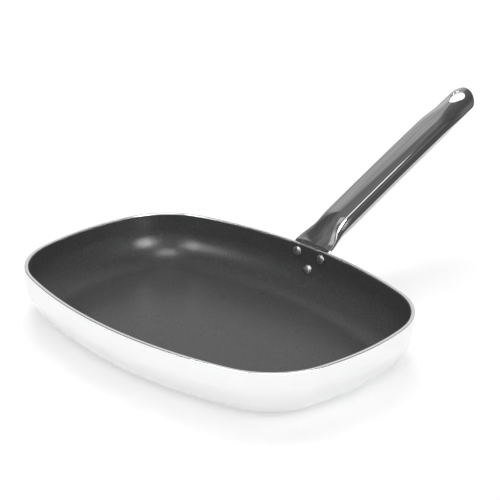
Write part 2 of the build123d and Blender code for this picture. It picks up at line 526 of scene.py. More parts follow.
def grid_mesh(name: str, rings: np.ndarray) -> bpy.types.Mesh:
    """Skin a stack of closed rings with quads.

    Args:
        name: The mesh's name.
        rings: Points as (ring, place in the ring, xyz).

    Returns:
        The mesh, whose faces point outwards or inwards, as the rings turn.
    """
    count, size = rings.shape[:2]
    index = np.arange(count * size).reshape(count, size)
    ahead = np.roll(index, -1, axis=1)
    quads = np.stack([index[:-1], ahead[:-1], ahead[1:], index[1:]], axis=-1)
    mesh = bpy.data.meshes.new(name)
    mesh.from_pydata(rings.reshape(-1, 3).tolist(), [], quads.reshape(-1, 4).tolist())
    return mesh


def placed(name: str, data: bpy.types.ID) -> bpy.types.Object:
    """Put a mesh, lamp or camera into the scene.

    Args:
        name: The new object's name.
        data: What it shows.

    Returns:
        The object, at the origin.
    """
    made = bpy.data.objects.new(name, data)
    bpy.context.scene.collection.objects.link(made)
    return made


def closed_piece(name: str, meshes: Iterable[bpy.types.Mesh]) -> bpy.types.Object:
    """Weld meshes that share edges, and close them to one smooth piece with outward faces.

    Args:
        name: The piece's name.
        meshes: The meshes, which are used up.

    Returns:
        The piece, at the origin.
    """
    shape = bmesh.new()
    for mesh in meshes:
        shape.from_mesh(mesh)
        bpy.data.meshes.remove(mesh)
    bmesh.ops.remove_doubles(shape, verts=shape.verts, dist=MERGE_DISTANCE)
    bmesh.ops.dissolve_degenerate(shape, edges=shape.edges, dist=MERGE_DISTANCE)
    bmesh.ops.holes_fill(shape, edges=shape.edges, sides=0)
    bmesh.ops.recalc_face_normals(shape, faces=shape.faces)
    return smooth_object(name, shape)


def smooth_object(name: str, shape: bmesh.types.BMesh) -> bpy.types.Object:
    """Turn a bmesh, which is used up, into a smooth-shaded object.

    Args:
        name: The object's name.
        shape: The bmesh.

    Returns:
        The object, at the origin.
    """
    mesh = bpy.data.meshes.new(name)
    shape.to_mesh(mesh)
    shape.free()
    mesh.shade_smooth()
    return placed(name, mesh)


def finished(made: bpy.types.Object, material: bpy.types.Material, slot: Slot, *nodes: str) -> None:
    """Dress a piece, set it on the body and hide the CAD nodes that it stands for.

    Args:
        made: The piece.
        material: Its material.
        slot: The record's slot that the finish belongs to; it is not used.
        nodes: The CAD nodes that it replaces.
    """
    made.data.materials.clear()
    made.data.materials.append(material)
    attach(made, BODY)
    if nodes:
        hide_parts(*nodes)
    LOG.info("%s: %d faces", made.name, len(made.data.polygons))


@dataclass
class RimOutline:
    """The pan's rim: four shallow arcs joined by four round corners.

    Args:
        half_length: Half the rim's length.
        half_width: Half the rim's width.
        long_radius: Radius of the two long sides.
        end_radius: Radius of the two short sides.
        corner_radius: Radius of the corners.
        step: Distance between neighbouring points.
    """

    half_length: float
    half_width: float
    long_radius: float = 407 * MM
    end_radius: float = 262 * MM
    corner_radius: float = 75 * MM
    step: float = 1.6 * MM

    FEWEST_POINTS = 8  # on each arc

    @property
    def long_offset(self) -> float:
        """How far a long side's centre lies from the middle."""
        return self.long_radius - self.half_width

    @property
    def end_offset(self) -> float:
        """How far a short side's centre lies from the middle."""
        return self.end_radius - self.half_length

    def corner_centre(self) -> tuple[float, float]:
        """Find the centre of the corner between +X and +Y, which its two neighbours' circles fix.

        Returns:
            Its x and y.
        """
        first = np.array([0.0, -self.long_offset])
        second = np.array([-self.end_offset, 0.0])
        reach = self.long_radius - self.corner_radius
        other = self.end_radius - self.corner_radius
        gap = second - first
        distance = float(np.hypot(*gap))
        along = (reach**2 - other**2 + distance**2) / (2 * distance)
        side = math.sqrt(reach**2 - along**2)
        unit = gap / distance
        x, y = first + along * unit + side * np.array([unit[1], -unit[0]])
        return float(x), float(y)

    def points(self) -> np.ndarray:
        """Trace the rim counterclockwise.

        Returns:
            Its points, as (count, 2).
        """
        x, y = self.corner_centre()
        low = math.atan2(y, x + self.end_offset)
        high = math.atan2(y + self.long_offset, x)
        arcs = (
            ((-self.end_offset, 0.0), self.end_radius, 0.0, low),
            ((x, y), self.corner_radius, low, high),
            ((0.0, -self.long_offset), self.long_radius, high, math.pi / 2),
        )
        spots = []
        for centre, radius, start, end in arcs:
            count = max(self.FEWEST_POINTS, round(radius * (end - start) / self.step))
            angles = np.linspace(start, end, count, endpoint=False)
            spots.append(np.array(centre) + radius * np.stack([np.cos(angles), np.sin(angles)], axis=1))
        first = np.concatenate(spots)
        upper = np.concatenate([first, [[0.0, self.half_width]], (first * (-1.0, 1.0))[::-1]])
        return np.concatenate([upper, -upper[1:-1]])


@dataclass
class PanForm:
    """The pressed dish's sizes, and the places on its wall that the handle and rivets share.

    Args:
        rim: The rim's outline.
        rim_height: Height of the rim's top above the surface that the pan stands on.
        draft: How far the wall leans out.
        base_radius: Radius that joins the outer wall to the base.
        wall: Thickness of the wall.
        floor: Thickness of the floor.
        rim_edge: Radius of the rim's two edges.
        lining: Thickness of the non-stick film.
        lining_setback: How far below the rim the film ends.
        arc_steps: Points along each base radius.
        edge_steps: Points along each edge of the rim.
        support: How far a flat's first points lie from the round beside it.
    """

    rim: RimOutline
    rim_height: float
    draft: float = math.radians(2.3)
    base_radius: float = 36.5 * MM
    wall: float = 3.4 * MM
    floor: float = 3.6 * MM
    rim_edge: float = 0.7 * MM
    lining: float = 0.3 * MM
    lining_setback: float = 1.0 * MM
    arc_steps: int = 40
    edge_steps: int = 6
    support: float = 0.5 * MM

    FLAT_SUPPORTS = 4  # how many supports wide the ring of flat is that a skin starts with

    def line_inset(self, inset: float, height: float) -> float:
        """Return how far inside the rim a straight drafted wall lies at this height."""
        return inset + (self.rim_height - height) * math.tan(self.draft)

    def skin(self, inset: float, bottom: float, top: float) -> list[tuple[float, float]]:
        """Trace one drafted skin from its flat floor to its top.

        Args:
            inset: How far inside the outer skin it lies.
            bottom: Height of its flat.
            top: Height of its upper edge.

        Returns:
            Pairs of inset from the rim's outline and height.
        """
        radius = self.base_radius - inset
        centre_height = bottom + radius
        tangent_height = centre_height - radius * math.sin(self.draft)
        centre = self.line_inset(inset, tangent_height) + radius * math.cos(self.draft)
        flat_start = centre + self.FLAT_SUPPORTS * self.support
        trace = [(flat_start, bottom), (centre + self.support, bottom)]
        for angle in np.linspace(math.pi / 2, self.draft, self.arc_steps):
            trace.append((centre - radius * math.cos(angle), centre_height - radius * math.sin(angle)))
        for height in (tangent_height + self.support, top - self.support, top):
            trace.append((self.line_inset(inset, height), height))
        return trace

    def body_trace(self) -> list[tuple[float, float]]:
        """Trace the metal from its base up the outside, over the rim and down to the floor inside.

        Returns:
            Pairs of inset from the rim's outline and height.
        """
        edge_height = self.rim_height - self.rim_edge
        outer = [
            (self.rim_edge * (1 - math.cos(angle)), edge_height + self.rim_edge * math.sin(angle))
            for angle in np.linspace(0.0, math.pi / 2, self.edge_steps)
        ]
        inner = [(self.wall - inset, height) for inset, height in reversed(outer)]
        level = [
            (self.rim_edge + self.support, self.rim_height),
            (self.wall - self.rim_edge - self.support, self.rim_height),
        ]
        up = self.skin(0.0, 0.0, edge_height)[:-1]
        down = self.skin(self.wall, self.floor, edge_height)[:-1]
        return up + outer + level + inner + down[::-1]

    def lining_trace(self) -> list[tuple[float, float]]:
        """Trace the film from its back on the floor up the wall, over its edge and down its face.

        Returns:
            Pairs of inset from the rim's outline and height.
        """
        top = self.rim_height - self.lining_setback
        back = self.skin(self.wall, self.floor, top)
        face = self.skin(self.wall + self.lining, self.floor + self.lining, top)
        return back + face[::-1]

    def tangent_height(self) -> float:
        """Return the height at which the outer wall's straight part begins."""
        return self.base_radius * (1 - math.sin(self.draft))

    def wall_tilt(self, height: float) -> float:
        """Find the outer wall's lean.

        Args:
            height: The height at which it is asked for.

        Returns:
            How far the wall's normal points below level there.
        """
        if height > self.tangent_height():
            return self.draft
        return math.asin((self.base_radius - height) / self.base_radius)

    def wall_inset(self, height: float) -> float:
        """Find the outer skin's place in the section.

        Args:
            height: The height at which it is asked for.

        Returns:
            How far the skin lies inside the rim's outline there.
        """
        if height > self.tangent_height():
            return self.line_inset(0.0, height)
        centre = self.line_inset(0.0, self.tangent_height()) + self.base_radius * math.cos(self.draft)
        return centre - self.base_radius * math.cos(self.wall_tilt(height))

    def wall_seat(self, across: float, height: float) -> tuple[Vector, Vector]:
        """Find a place on the outer skin of the long side that carries the handle.

        Args:
            across: Its distance from the middle, along X.
            height: Its height.

        Returns:
            The place and the outward normal.
        """
        plan_radius = self.rim.long_radius - self.wall_inset(height)
        turn = math.asin(across / plan_radius)
        tilt = self.wall_tilt(height)
        distance = plan_radius * math.cos(turn) - self.rim.long_offset
        outward = (math.sin(turn) * math.cos(tilt), math.cos(turn) * math.cos(tilt), -math.sin(tilt))
        return Vector((across, distance, height)), Vector(outward)


@dataclass
class Dish:
    """The pressed body and its film, each a section swept round the rim.

    Args:
        form: The dish's sizes.
    """

    form: PanForm

    def tree(self) -> bpy.types.NodeTree:
        """Build the tree that sweeps a section round the rim.

        Returns:
            The tree, with the section and the finish as its inputs.
        """
        inputs = {"Section": "NodeSocketObject", "Finish": "NodeSocketMaterial"}
        nodes, given = shape_tree("swept_round_the_rim", inputs)
        path = nodes.node("GeometryNodeMeshToCurve", {}, {"Mesh": given.outputs["Geometry"]})
        level = nodes.node("GeometryNodeSetCurveNormal", {"mode": "Z_UP"}, {"Curve": path})
        section = nodes.node("GeometryNodeObjectInfo", {}, {"Object": given.outputs["Section"]})
        outline = nodes.node("GeometryNodeMeshToCurve", {}, {"Mesh": section.outputs["Geometry"]})
        swept = nodes.node("GeometryNodeCurveToMesh", {}, {"Curve": level, "Profile Curve": outline})
        return dressed_end(nodes, given, swept)

    def swept(
        self,
        name: str,
        tree: bpy.types.NodeTree,
        trace: list[tuple[float, float]],
        material: bpy.types.Material,
    ) -> bpy.types.Object:
        """Sweep a section round the rim and close its two flats.

        Args:
            name: The piece's name.
            tree: The tree that sweeps it.
            trace: Pairs of inset and height.
            material: The piece's material.

        Returns:
            The piece.
        """
        path = line_object(f"{name}_path", [(x, y, 0.0) for x, y in self.form.rim.points()], closed=True)
        across = [(-inset, -height, 0.0) for inset, height in trace]
        section = line_object(f"{name}_section", across, closed=False)
        mesh = evaluated(path, tree, {"Section": section, "Finish": material})
        for helper in (path, section):
            bpy.data.objects.remove(helper)
        return closed_piece(name, [mesh])

    def build(self) -> None:
        """Build and dress the body and its film."""
        tree = self.tree()
        metal = PressedAluminium(rim_height=self.form.rim_height).material()
        film = NonstickLining().material()
        body = self.swept("pressed_body", tree, self.form.body_trace(), metal)
        lining = self.swept("lining", tree, self.form.lining_trace(), film)
        finished(body, metal, Slot.BODY, "pan_body")
        finished(lining, film, Slot.LINING, "nonstick_coating")


def shape_tree(name: str, inputs: dict[str, str]) -> tuple[Nodes, bpy.types.Node]:
    """Begin a geometry tree.

    Args:
        name: The tree's name.
        inputs: The socket type of each named input after the geometry.

    Returns:
        Its nodes, and the node that carries its inputs.
    """
    tree = bpy.data.node_groups.new(name, "GeometryNodeTree")
    for socket, kind in {"Geometry": "NodeSocketGeometry", **inputs}.items():
        tree.interface.new_socket(socket, in_out="INPUT", socket_type=kind)
    tree.interface.new_socket("Geometry", in_out="OUTPUT", socket_type="NodeSocketGeometry")
    nodes = Nodes(tree)
    return nodes, nodes.node("NodeGroupInput")


def dressed_end(nodes: Nodes, given: bpy.types.Node, shape: bpy.types.Node) -> bpy.types.NodeTree:
    """End a geometry tree with real, dressed geometry.

    Args:
        nodes: The tree's nodes.
        given: The node that carries its inputs, Finish among them.
        shape: The node whose geometry it gives out.

    Returns:
        The finished tree.
    """
    real = nodes.node("GeometryNodeRealizeInstances", {}, {"Geometry": shape})
    inputs = {"Geometry": real, "Material": given.outputs["Finish"]}
    nodes.node("NodeGroupOutput", {}, {"Geometry": nodes.node("GeometryNodeSetMaterial", {}, inputs)})
    return nodes.tree


def line_object(name: str, points: Sequence[Sequence[float]], closed: bool) -> bpy.types.Object:
    """Make a chain of edges for a node tree to follow.

    Args:
        name: The helper's name.
        points: Its points.
        closed: Whether its last point joins its first.

    Returns:
        The helper object.
    """
    count = len(points)
    edges = [(index, index + 1) for index in range(count - 1)] + ([(count - 1, 0)] if closed else [])
    mesh = bpy.data.meshes.new(name)
    mesh.from_pydata([tuple(point) for point in points], edges, [])
    return placed(name, mesh)


def evaluated(source: bpy.types.Object, tree: bpy.types.NodeTree, inputs: dict[str, Any]) -> bpy.types.Mesh:
    """Run a geometry tree on an object and return its result as a plain mesh.

    Args:
        source: The object that the tree starts from.
        tree: The tree.
        inputs: A value for each named input.

    Returns:
        A new mesh.
    """
    modifier = source.modifiers.new(tree.name, "NODES")
    modifier.node_group = tree
    for item in tree.interface.items_tree:
        if item.in_out == "INPUT" and item.name in inputs:
            modifier[item.identifier] = inputs[item.name]
    bpy.context.view_layer.update()
    depsgraph = bpy.context.evaluated_depsgraph_get()
    mesh = bpy.data.meshes.new_from_object(source.evaluated_get(depsgraph))
    source.modifiers.remove(modifier)
    return mesh


@dataclass(frozen=True)
class Section:
    """One cross-section of the handle: a crown and an underside that meet at two round sides.

    Args:
        origin: The middle of its width, level with its widest points.
        up: Direction of its crown, in the plane X = 0.
        half: Half its width.
        side: Radius of its sides.
        crown: Slope and reach of the crown where it leaves the sides.
        under: Slope and reach of the underside there.
        tight: How tightly the crown turns at its shoulders, from 0 to 1.
    """

    origin: Vector
    up: Vector
    half: float
    side: float
    crown: tuple[float, float]
    under: tuple[float, float]
    tight: float = 0.0

    SAMPLES = 90  # points along each face and along each round side
    TIGHT_REACH = 0.8  # share of the crown's reach where it turns tightly

    def edge(self, slope: float, reach: float, doubled: bool = False) -> tuple[np.ndarray, np.ndarray]:
        """Trace one face from its middle to its side.

        Args:
            slope: The face's slope where it leaves the side.
            reach: How far its Bezier's poles reach along that slope, measured across.
            doubled: Whether each inner pole counts twice, which leaves the middle as high and flatter.

        Returns:
            The distances from the middle, rising, and the heights there.
        """
        edge = self.half - self.side + self.side * math.sin(slope)
        level = self.side * math.cos(slope)
        share = np.linspace(0.5, 1.0, self.SAMPLES)
        if doubled:
            reach = reach * self.TIGHT_REACH
        poles = (-edge, reach - edge, edge - reach, edge)
        lifts = (level, level + reach * math.tan(slope), level + reach * math.tan(slope), level)
        rest = 1 - share
        weights = [rest**3, 3 * share * rest**2, 3 * share**2 * rest, share**3]
        if doubled:
            first = 5 * share * rest**4 + 10 * share**2 * rest**3
            last = 10 * share**3 * rest**2 + 5 * share**4 * rest
            weights = [rest**5, first, last, share**5]
        across = sum(weight * pole for weight, pole in zip(weights, poles))
        height = sum(weight * lift for weight, lift in zip(weights, lifts))
        turn = np.linspace(math.pi / 2 - slope, 0.0, self.SAMPLES)[1:]
        across = np.concatenate([across, self.half - self.side + self.side * np.cos(turn)])
        return across, np.concatenate([height, self.side * np.sin(turn)])

    def faces(self, across: np.ndarray) -> tuple[np.ndarray, np.ndarray]:
        """Find both faces at some distances from the middle.

        Args:
            across: The distances.

        Returns:
            The crown's and the underside's heights there.
        """
        aside = np.abs(across)
        crown = np.interp(aside, *self.edge(*self.crown))
        if self.tight:
            crown = between(crown, np.interp(aside, *self.edge(*self.crown, doubled=True)), self.tight)
        return crown, -np.interp(aside, *self.edge(*self.under))

    def place(self, across: np.ndarray, height: np.ndarray) -> np.ndarray:
        """Turn places in the section into points.

        Args:
            across: Their distances from the middle.
            height: Their heights.

        Returns:
            The points, as (count, 3).
        """
        points = np.outer(height, np.array(self.up)) + np.array(self.origin)
        points[:, 0] += across
        return points


@dataclass
class HandleForm:
    """The handle's sizes: one tube, pressed flat to a riveted flange and at its tip to a spoon.

    Args:
        pan: The dish that it is riveted to.
        length: Length from the bend to the tip.
        rise: Angle above level.
        bow: How far its middle arches up.
        fold: Half the thickness of both layers pressed together.
        tube_width: Width of the open tube.
        tube_crown: Height of the tube's crown over its widest points.
        tube_belly: Depth of its underside below them.
        tube_side_radius: Radius of its sides.
        tube_slope: Slope of its faces where they leave the sides.
        flare_length: Length over which the flange narrows to the tube.
        crown_length: Length over which the crown rises.
        belly_length: Length over which the underside sinks.
        flange_width: Width of the flange.
        flange_margin: Its margin round the lower rivet.
        bend_height: How far the bend's corner lies above the rim.
        bend_radius: Radius of the bend.
        bend_arch: How far the plate arches at its end.
        tip_width: Width of the tip.
        tip_crown: Height of the tip's crown.
        tip_press_start: Distance from the tip at which the tube begins to be pressed.
        tip_press_end: Distance from it at which the tube is a plate.
        hole_length: Length of the hanging hole.
        hole_width: Its width.
        hole_small_radius: Radius of its narrow end.
        hole_margin: Metal between the hole and the tip.
        rivet_spacing: Distance between the upper rivets.
        rivet_row_drop: How far they lie below the rim.
        rivet_row_gap: How far the lower rivet lies below them.
        seat_bite: How far the flange is pressed into the wall.
    """

    pan: PanForm
    length: float = 246 * MM
    rise: float = math.radians(23.9)
    bow: float = 1.0 * MM
    fold: float = 1.3 * MM
    tube_width: float = 35 * MM
    tube_crown: float = 9 * MM
    tube_belly: float = 12 * MM
    tube_side_radius: float = 6.5 * MM
    tube_slope: float = math.radians(62)
    flare_length: float = 28 * MM
    crown_length: float = 42 * MM
    belly_length: float = 46 * MM
    flange_width: float = 44 * MM
    flange_margin: float = 8 * MM
    bend_height: float = 0.1 * MM
    bend_radius: float = 2.2 * MM
    bend_arch: float = 1.5 * MM
    tip_width: float = 36 * MM
    tip_crown: float = 9 * MM
    tip_press_start: float = 62 * MM
    tip_press_end: float = 27 * MM
    hole_length: float = 18.5 * MM
    hole_width: float = 14.5 * MM
    hole_small_radius: float = 4 * MM
    hole_margin: float = 7 * MM
    rivet_spacing: float = 30 * MM
    rivet_row_drop: float = 7.6 * MM
    rivet_row_gap: float = 15.1 * MM
    seat_bite: float = 0.2 * MM

    POLE_LIFT = 0.75  # how much of its poles' lift a cubic reaches in its middle
    PARABOLA_REACH = 2 / 3  # the reach, as a share of half the width, that makes it a parabola

    def __post_init__(self) -> None:
        """Work out the path from the driving sizes."""
        draft = self.pan.draft
        self.sagitta = self.pan.rim.long_radius - math.sqrt(
            self.pan.rim.long_radius**2 - (self.flange_width / 2) ** 2
        )
        self.flange_offset = self.fold - self.sagitta - self.seat_bite
        self.bow_slope = 4 * self.bow / self.length  # a parabola's slope at its ends
        self.bend_turn = math.pi / 2 - draft - self.rise - math.atan(self.bow_slope)
        self.bend_tangent = self.bend_radius * math.tan(self.bend_turn / 2)
        self.corner_y = (
            self.pan.rim.half_width
            + self.bend_height * math.tan(draft)
            + self.flange_offset / math.cos(draft)
        )
        self.corner_z = self.pan.rim_height + self.bend_height
        self.flange_top = self.corner_z - self.bend_tangent * math.cos(draft)
        self.press_start = self.length - self.tip_press_start
        self.press_end = self.length - self.tip_press_end
        self.upper_rivets = self.pan.rim_height - self.rivet_row_drop
        self.lower_rivet = self.upper_rivets - self.rivet_row_gap

    @staticmethod
    def plane(y: float, z: float, angle: float) -> tuple[Vector, Vector]:
        """Return the origin and crown direction of a section across the path."""
        return Vector((0.0, y, z)), Vector((0.0, -math.sin(angle), math.cos(angle)))

    def shallow_slope(self, crown: float, half: float) -> float:
        """Return the slope at the edges of a shallow crowned plate."""
        return math.atan2(2 * crown, half - self.fold)

    def pressed(self, origin: Vector, up: Vector, crown: float) -> Section:
        """Press both layers together to a plate as wide as the flange.

        Args:
            origin: The middle of the section.
            up: Direction of its crown.
            crown: How far it arches, negative where it follows the wall.

        Returns:
            The section.
        """
        half = self.flange_width / 2
        slope = self.shallow_slope(crown, half)
        reach = (half - self.fold) * self.PARABOLA_REACH
        return Section(origin, up, half, self.fold, (slope, reach), (-slope, reach))

    def flange(self, height: float) -> Section:
        """Follow the wall with the middle of the flange.

        Args:
            height: The height on the wall.

        Returns:
            The section there.
        """
        seat, outward = self.pan.wall_seat(0.0, height)
        middle = seat + outward * self.flange_offset
        angle = math.pi / 2 - self.pan.wall_tilt(height)
        return self.pressed(*self.plane(middle.y, middle.z, angle), -self.sagitta)

    def bend(self, share: float) -> Section:
        """Follow the bend.

        Args:
            share: The share of it that lies behind the section.

        Returns:
            The section there.
        """
        draft = self.pan.draft
        foot = self.corner_y - self.bend_tangent * math.sin(draft)
        centre_y = foot + self.bend_radius * math.cos(draft)
        centre_z = self.flange_top - self.bend_radius * math.sin(draft)
        angle = math.pi / 2 - draft - self.bend_turn * share
        y = centre_y - self.bend_radius * math.sin(angle)
        z = centre_z + self.bend_radius * math.cos(angle)
        return self.pressed(*self.plane(y, z, angle), between(-self.sagitta, self.bend_arch, share))

    def path(self, distance: float) -> tuple[Vector, Vector]:
        """Follow the bowed middle of the handle.

        Args:
            distance: The distance from the bend's corner.

        Returns:
            The origin and crown direction of the section there.
        """
        share = distance / self.length
        lift = self.bow_slope * distance * (1 - share)
        y = self.corner_y + distance * math.cos(self.rise) - lift * math.sin(self.rise)
        z = self.corner_z + distance * math.sin(self.rise) + lift * math.cos(self.rise)
        return self.plane(y, z, self.rise + math.atan(self.bow_slope * (1 - 2 * share)))

    def tube(self, distance: float) -> Section:
        """Shape the tube and its pressed tip.

        Args:
            distance: The distance from the bend's corner.

        Returns:
            The section there.
        """
        start = self.bend_tangent
        narrowed = ease(distance, start, self.flare_length)
        opened = ease(distance, start, self.crown_length)
        bellied = ease(distance, start, self.belly_length)
        pressed = ease(distance, self.press_start, self.press_end)
        flared = between(self.flange_width, self.tube_width, narrowed)
        half = between(flared, self.tip_width, pressed) / 2
        side = between(self.fold, self.tube_side_radius, opened * (1 - pressed))
        bend_slope = self.shallow_slope(self.bend_arch, self.flange_width / 2)
        tip_slope = self.shallow_slope(self.tip_crown - self.fold, self.tip_width / 2)
        top_slope = between(between(bend_slope, self.tube_slope, opened), tip_slope, pressed)
        low_slope = between(between(-bend_slope, self.tube_slope, bellied), -tip_slope, pressed)
        crowned = between(self.fold + self.bend_arch, self.tube_crown, opened)
        peak = between(crowned, self.tip_crown, pressed)
        top_reach = (peak - side * math.cos(top_slope)) / (self.POLE_LIFT * math.tan(top_slope))
        low_half = half - side + side * math.sin(low_slope)
        open_half = self.tube_width / 2 - self.tube_side_radius * (1 - math.sin(self.tube_slope))
        belly_drop = self.tube_belly - self.tube_side_radius * math.cos(self.tube_slope)
        belly_run = belly_drop / (self.POLE_LIFT * math.tan(self.tube_slope)) / open_half
        bellied_run = between(self.PARABOLA_REACH, belly_run, bellied)
        low_run = between(bellied_run, self.PARABOLA_REACH, pressed)
        crown, under = (top_slope, top_reach), (low_slope, low_run * low_half)
        return Section(*self.path(distance), half, side, crown, under, opened * (1 - pressed))


def capsule_distance(x: np.ndarray, y: np.ndarray, length: float, first: float, last: float) -> np.ndarray:
    """Measure how far points lie outside the hull of two circles on the Y axis.

    Args:
        x: Distances from the axis.
        y: Distances along the axis from the first circle's centre.
        length: Distance between the centres.
        first: Radius of the circle at the origin.
        last: Radius of the other.

    Returns:
        The distances, negative inside.
    """
    lean = (first - last) / length
    upright = math.sqrt(1 - lean * lean)
    along = upright * y - lean * x
    near = np.hypot(x, y) - first
    far = np.hypot(x, y - length) - last
    middle = upright * x + lean * y - first
    return np.where(along < 0, near, np.where(along > upright * length, far, middle))


@dataclass
class Handle:
    """The handle's visible mesh, from the foot of the flange to the holed tip.

    Args:
        form: The handle's sizes.
        across_steps: Points across each face.
        cut_edge: How far the rounding of a cut edge reaches into the plate.
        flange_step: Distance between the flange's rings.
        tube_step: Distance between the tube's rings.
        bend_steps: Rings round the bend.
        round_steps: Points along a quarter of a round outline.
        hole_steps: Points between the tip's outline and the hole.
        join_back: How far before the pressed tip its plate takes over from the rings.
    """

    form: HandleForm
    across_steps: int = 72
    cut_edge: float = 0.55 * MM
    flange_step: float = 0.7 * MM
    tube_step: float = 1.2 * MM
    bend_steps: int = 18
    round_steps: int = 28
    hole_steps: int = 26
    join_back: float = 5 * MM

    def spread(self) -> np.ndarray:
        """Return shares from -1 to 1 across a face, closer together towards its sides."""
        return np.sin(np.linspace(-math.pi / 2, math.pi / 2, self.across_steps))

    def rounded(self, inside: np.ndarray) -> np.ndarray:
        """Return how much of its thickness the plate keeps this far inside a cut edge."""
        depth = np.clip(inside / self.cut_edge, 0.0, 1.0)
        return np.sqrt(1 - (1 - depth) ** 2)

    def ring(self, section: Section, width: float, inside: np.ndarray | None = None) -> np.ndarray:
        """Trace one closed ring round a section.

        Args:
            section: The section.
            width: Half the width at which it is cut.
            inside: How far each point lies inside the nearest cut edge, where there is one.

        Returns:
            The ring's points, along the crown and back along the underside.
        """
        across = self.spread() * width
        crown, under = section.faces(across)
        if inside is not None:
            middle, half = (crown + under) / 2, (crown - under) / 2 * self.rounded(inside)
            crown, under = middle + half, middle - half
        top = section.place(across, crown)
        low = section.place(across[::-1], under[::-1])
        return self.seated(np.concatenate([top, low[1:-1]]))

    def seated(self, points: np.ndarray) -> np.ndarray:
        """Push points out to the dish's outer skin where they would lie inside it.

        Args:
            points: The points, as (count, 3), which are changed.

        Returns:
            The same points.
        """
        pan = self.form.pan
        centre = np.array([0.0, -pan.rim.long_offset])
        plan = points[:, :2] - centre
        reach = np.hypot(*plan.T)
        limit = np.array([pan.rim.long_radius - pan.wall_inset(height) for height in points[:, 2]])
        scale = np.maximum(limit / reach, 1.0)
        points[:, :2] = centre + plan * scale[:, None]
        return points

    def flange_inside(self, across: np.ndarray, height: float) -> np.ndarray:
        """Measure how far places lie inside the flange's outline, a hull of three circles.

        Args:
            across: Their distances from the middle.
            height: Their height.

        Returns:
            The distances, negative outside.
        """
        form = self.form
        rise = form.upper_rivets - form.lower_rivet
        reach = form.rivet_spacing / 2
        length = math.hypot(reach, rise)
        x, y = np.abs(across), height - form.lower_rivet
        along = (x * reach + y * rise) / length
        aside = (x * rise - y * reach) / length
        upper = form.flange_width / 2 - reach
        return -capsule_distance(aside, along, length, form.flange_margin, upper)

    def flange_half(self, height: float) -> float:
        """Find the flange's edge.

        Args:
            height: The height at which it is asked for.

        Returns:
            Half the flange's width there.
        """
        low, high = 0.0, self.form.flange_width / 2
        if height >= self.form.upper_rivets:
            return high
        for _ in range(HALVINGS):
            middle = (low + high) / 2
            if self.flange_inside(np.array([middle]), height)[0] > 0:
                low = middle
            else:
                high = middle
        return low

    def flange_rings(self) -> list[np.ndarray]:
        """Trace the flange from its foot to the bend.

        Returns:
            Its rings.
        """
        form = self.form
        foot = form.lower_rivet - form.flange_margin
        turned = np.linspace(0.0, math.pi / 2, self.round_steps)
        low = [foot + form.flange_margin * (1 - math.cos(angle)) for angle in turned]
        count = round((form.flange_top - form.lower_rivet) / self.flange_step)
        rings = []
        for height in low + list(np.linspace(form.lower_rivet, form.flange_top, count))[1:]:
            half = self.flange_half(height)
            inside = None
            if height < form.upper_rivets:
                inside = self.flange_inside(self.spread() * half, height)
            rings.append(self.ring(form.flange(height), half, inside))
        return rings

    def rings(self) -> np.ndarray:
        """Trace the handle from the flange's foot to where the tip's plate begins.

        Returns:
            Its rings, as (ring, place in the ring, xyz).
        """
        form = self.form
        rings = self.flange_rings()
        for share in np.linspace(0.0, 1.0, self.bend_steps, endpoint=False)[1:]:
            rings.append(self.ring(form.bend(share), form.flange_width / 2))
        end = form.press_end - self.join_back
        for distance in np.linspace(form.bend_tangent, end, round(end / self.tube_step)):
            section = form.tube(distance)
            rings.append(self.ring(section, section.half))
        return np.array(rings)

    def hole_distance(self, x: np.ndarray, y: np.ndarray) -> np.ndarray:
        """Measure how far places on the tip lie outside the hanging hole.

        Args:
            x: Distances across.
            y: Distances along from the hole's middle, towards the tip.

        Returns:
            The distances, negative inside the hole.
        """
        form = self.form
        small = form.hole_small_radius
        foot = small - form.hole_length / 2
        length = form.hole_length - small - form.hole_width / 2
        return capsule_distance(np.abs(x), y - foot, length, small, form.hole_width / 2)

    def tip_outline(self) -> np.ndarray:
        """Trace the tip from one end of the joining ring round to the other and back along it.

        Returns:
            Pairs of distance across and distance along.
        """
        form = self.form
        half = form.tip_width / 2
        start, shoulder = form.press_end - self.join_back, form.length - half
        count = round((shoulder - start) / self.tube_step)
        along = np.linspace(start, shoulder, count)
        climb = [(form.tube(distance).half, distance) for distance in along]
        turned = np.linspace(0.0, math.pi, 2 * self.round_steps + 1)[1:-1]
        end = [(half * math.cos(angle), shoulder + half * math.sin(angle)) for angle in turned]
        across = (self.spread() * form.tube(start).half)[1:-1]
        join = [(x, start) for x in across]
        return np.array(climb + end + [(-x, y) for x, y in reversed(climb)] + join)

    def tip_mesh(self) -> bpy.types.Mesh:
        """Skin the tip's plate between its outline and the hanging hole.

        Returns:
            The mesh, open only where the rings join it.
        """
        form = self.form
        outline = self.tip_outline()
        centre = np.array([0.0, form.length - form.hole_margin - form.hole_length / 2])
        away = outline - centre
        reach = np.hypot(*away.T)
        unit = away / reach[:, None]
        low, high = np.zeros(len(unit)), reach.copy()
        for _ in range(HALVINGS):
            middle = (low + high) / 2
            outside = self.hole_distance(unit[:, 0] * middle, unit[:, 1] * middle) > 0
            high, low = np.where(outside, middle, high), np.where(outside, low, middle)
        shares = (1 - np.cos(np.linspace(0.0, math.pi, self.hole_steps))) / 2
        shoulder = form.length - form.tip_width / 2
        layers: dict[bool, list[np.ndarray]] = {True: [], False: []}
        for share in shares:
            flat = centre + unit * (reach + (high - reach) * share)[:, None]
            x, y = flat.T
            hole = self.hole_distance(x, y - centre[1])
            end = np.where(y > shoulder, form.tip_width / 2 - np.hypot(x, y - shoulder), np.inf)
            keep = self.rounded(np.minimum(hole, end))
            points = [self.tip_points(*spot) for spot in zip(x, y, keep)]
            layers[True].append(np.array([top for top, _ in points]))
            layers[False].append(np.array([low for _, low in points]))
        return grid_mesh("tip", np.array(layers[True] + layers[False][::-1]))

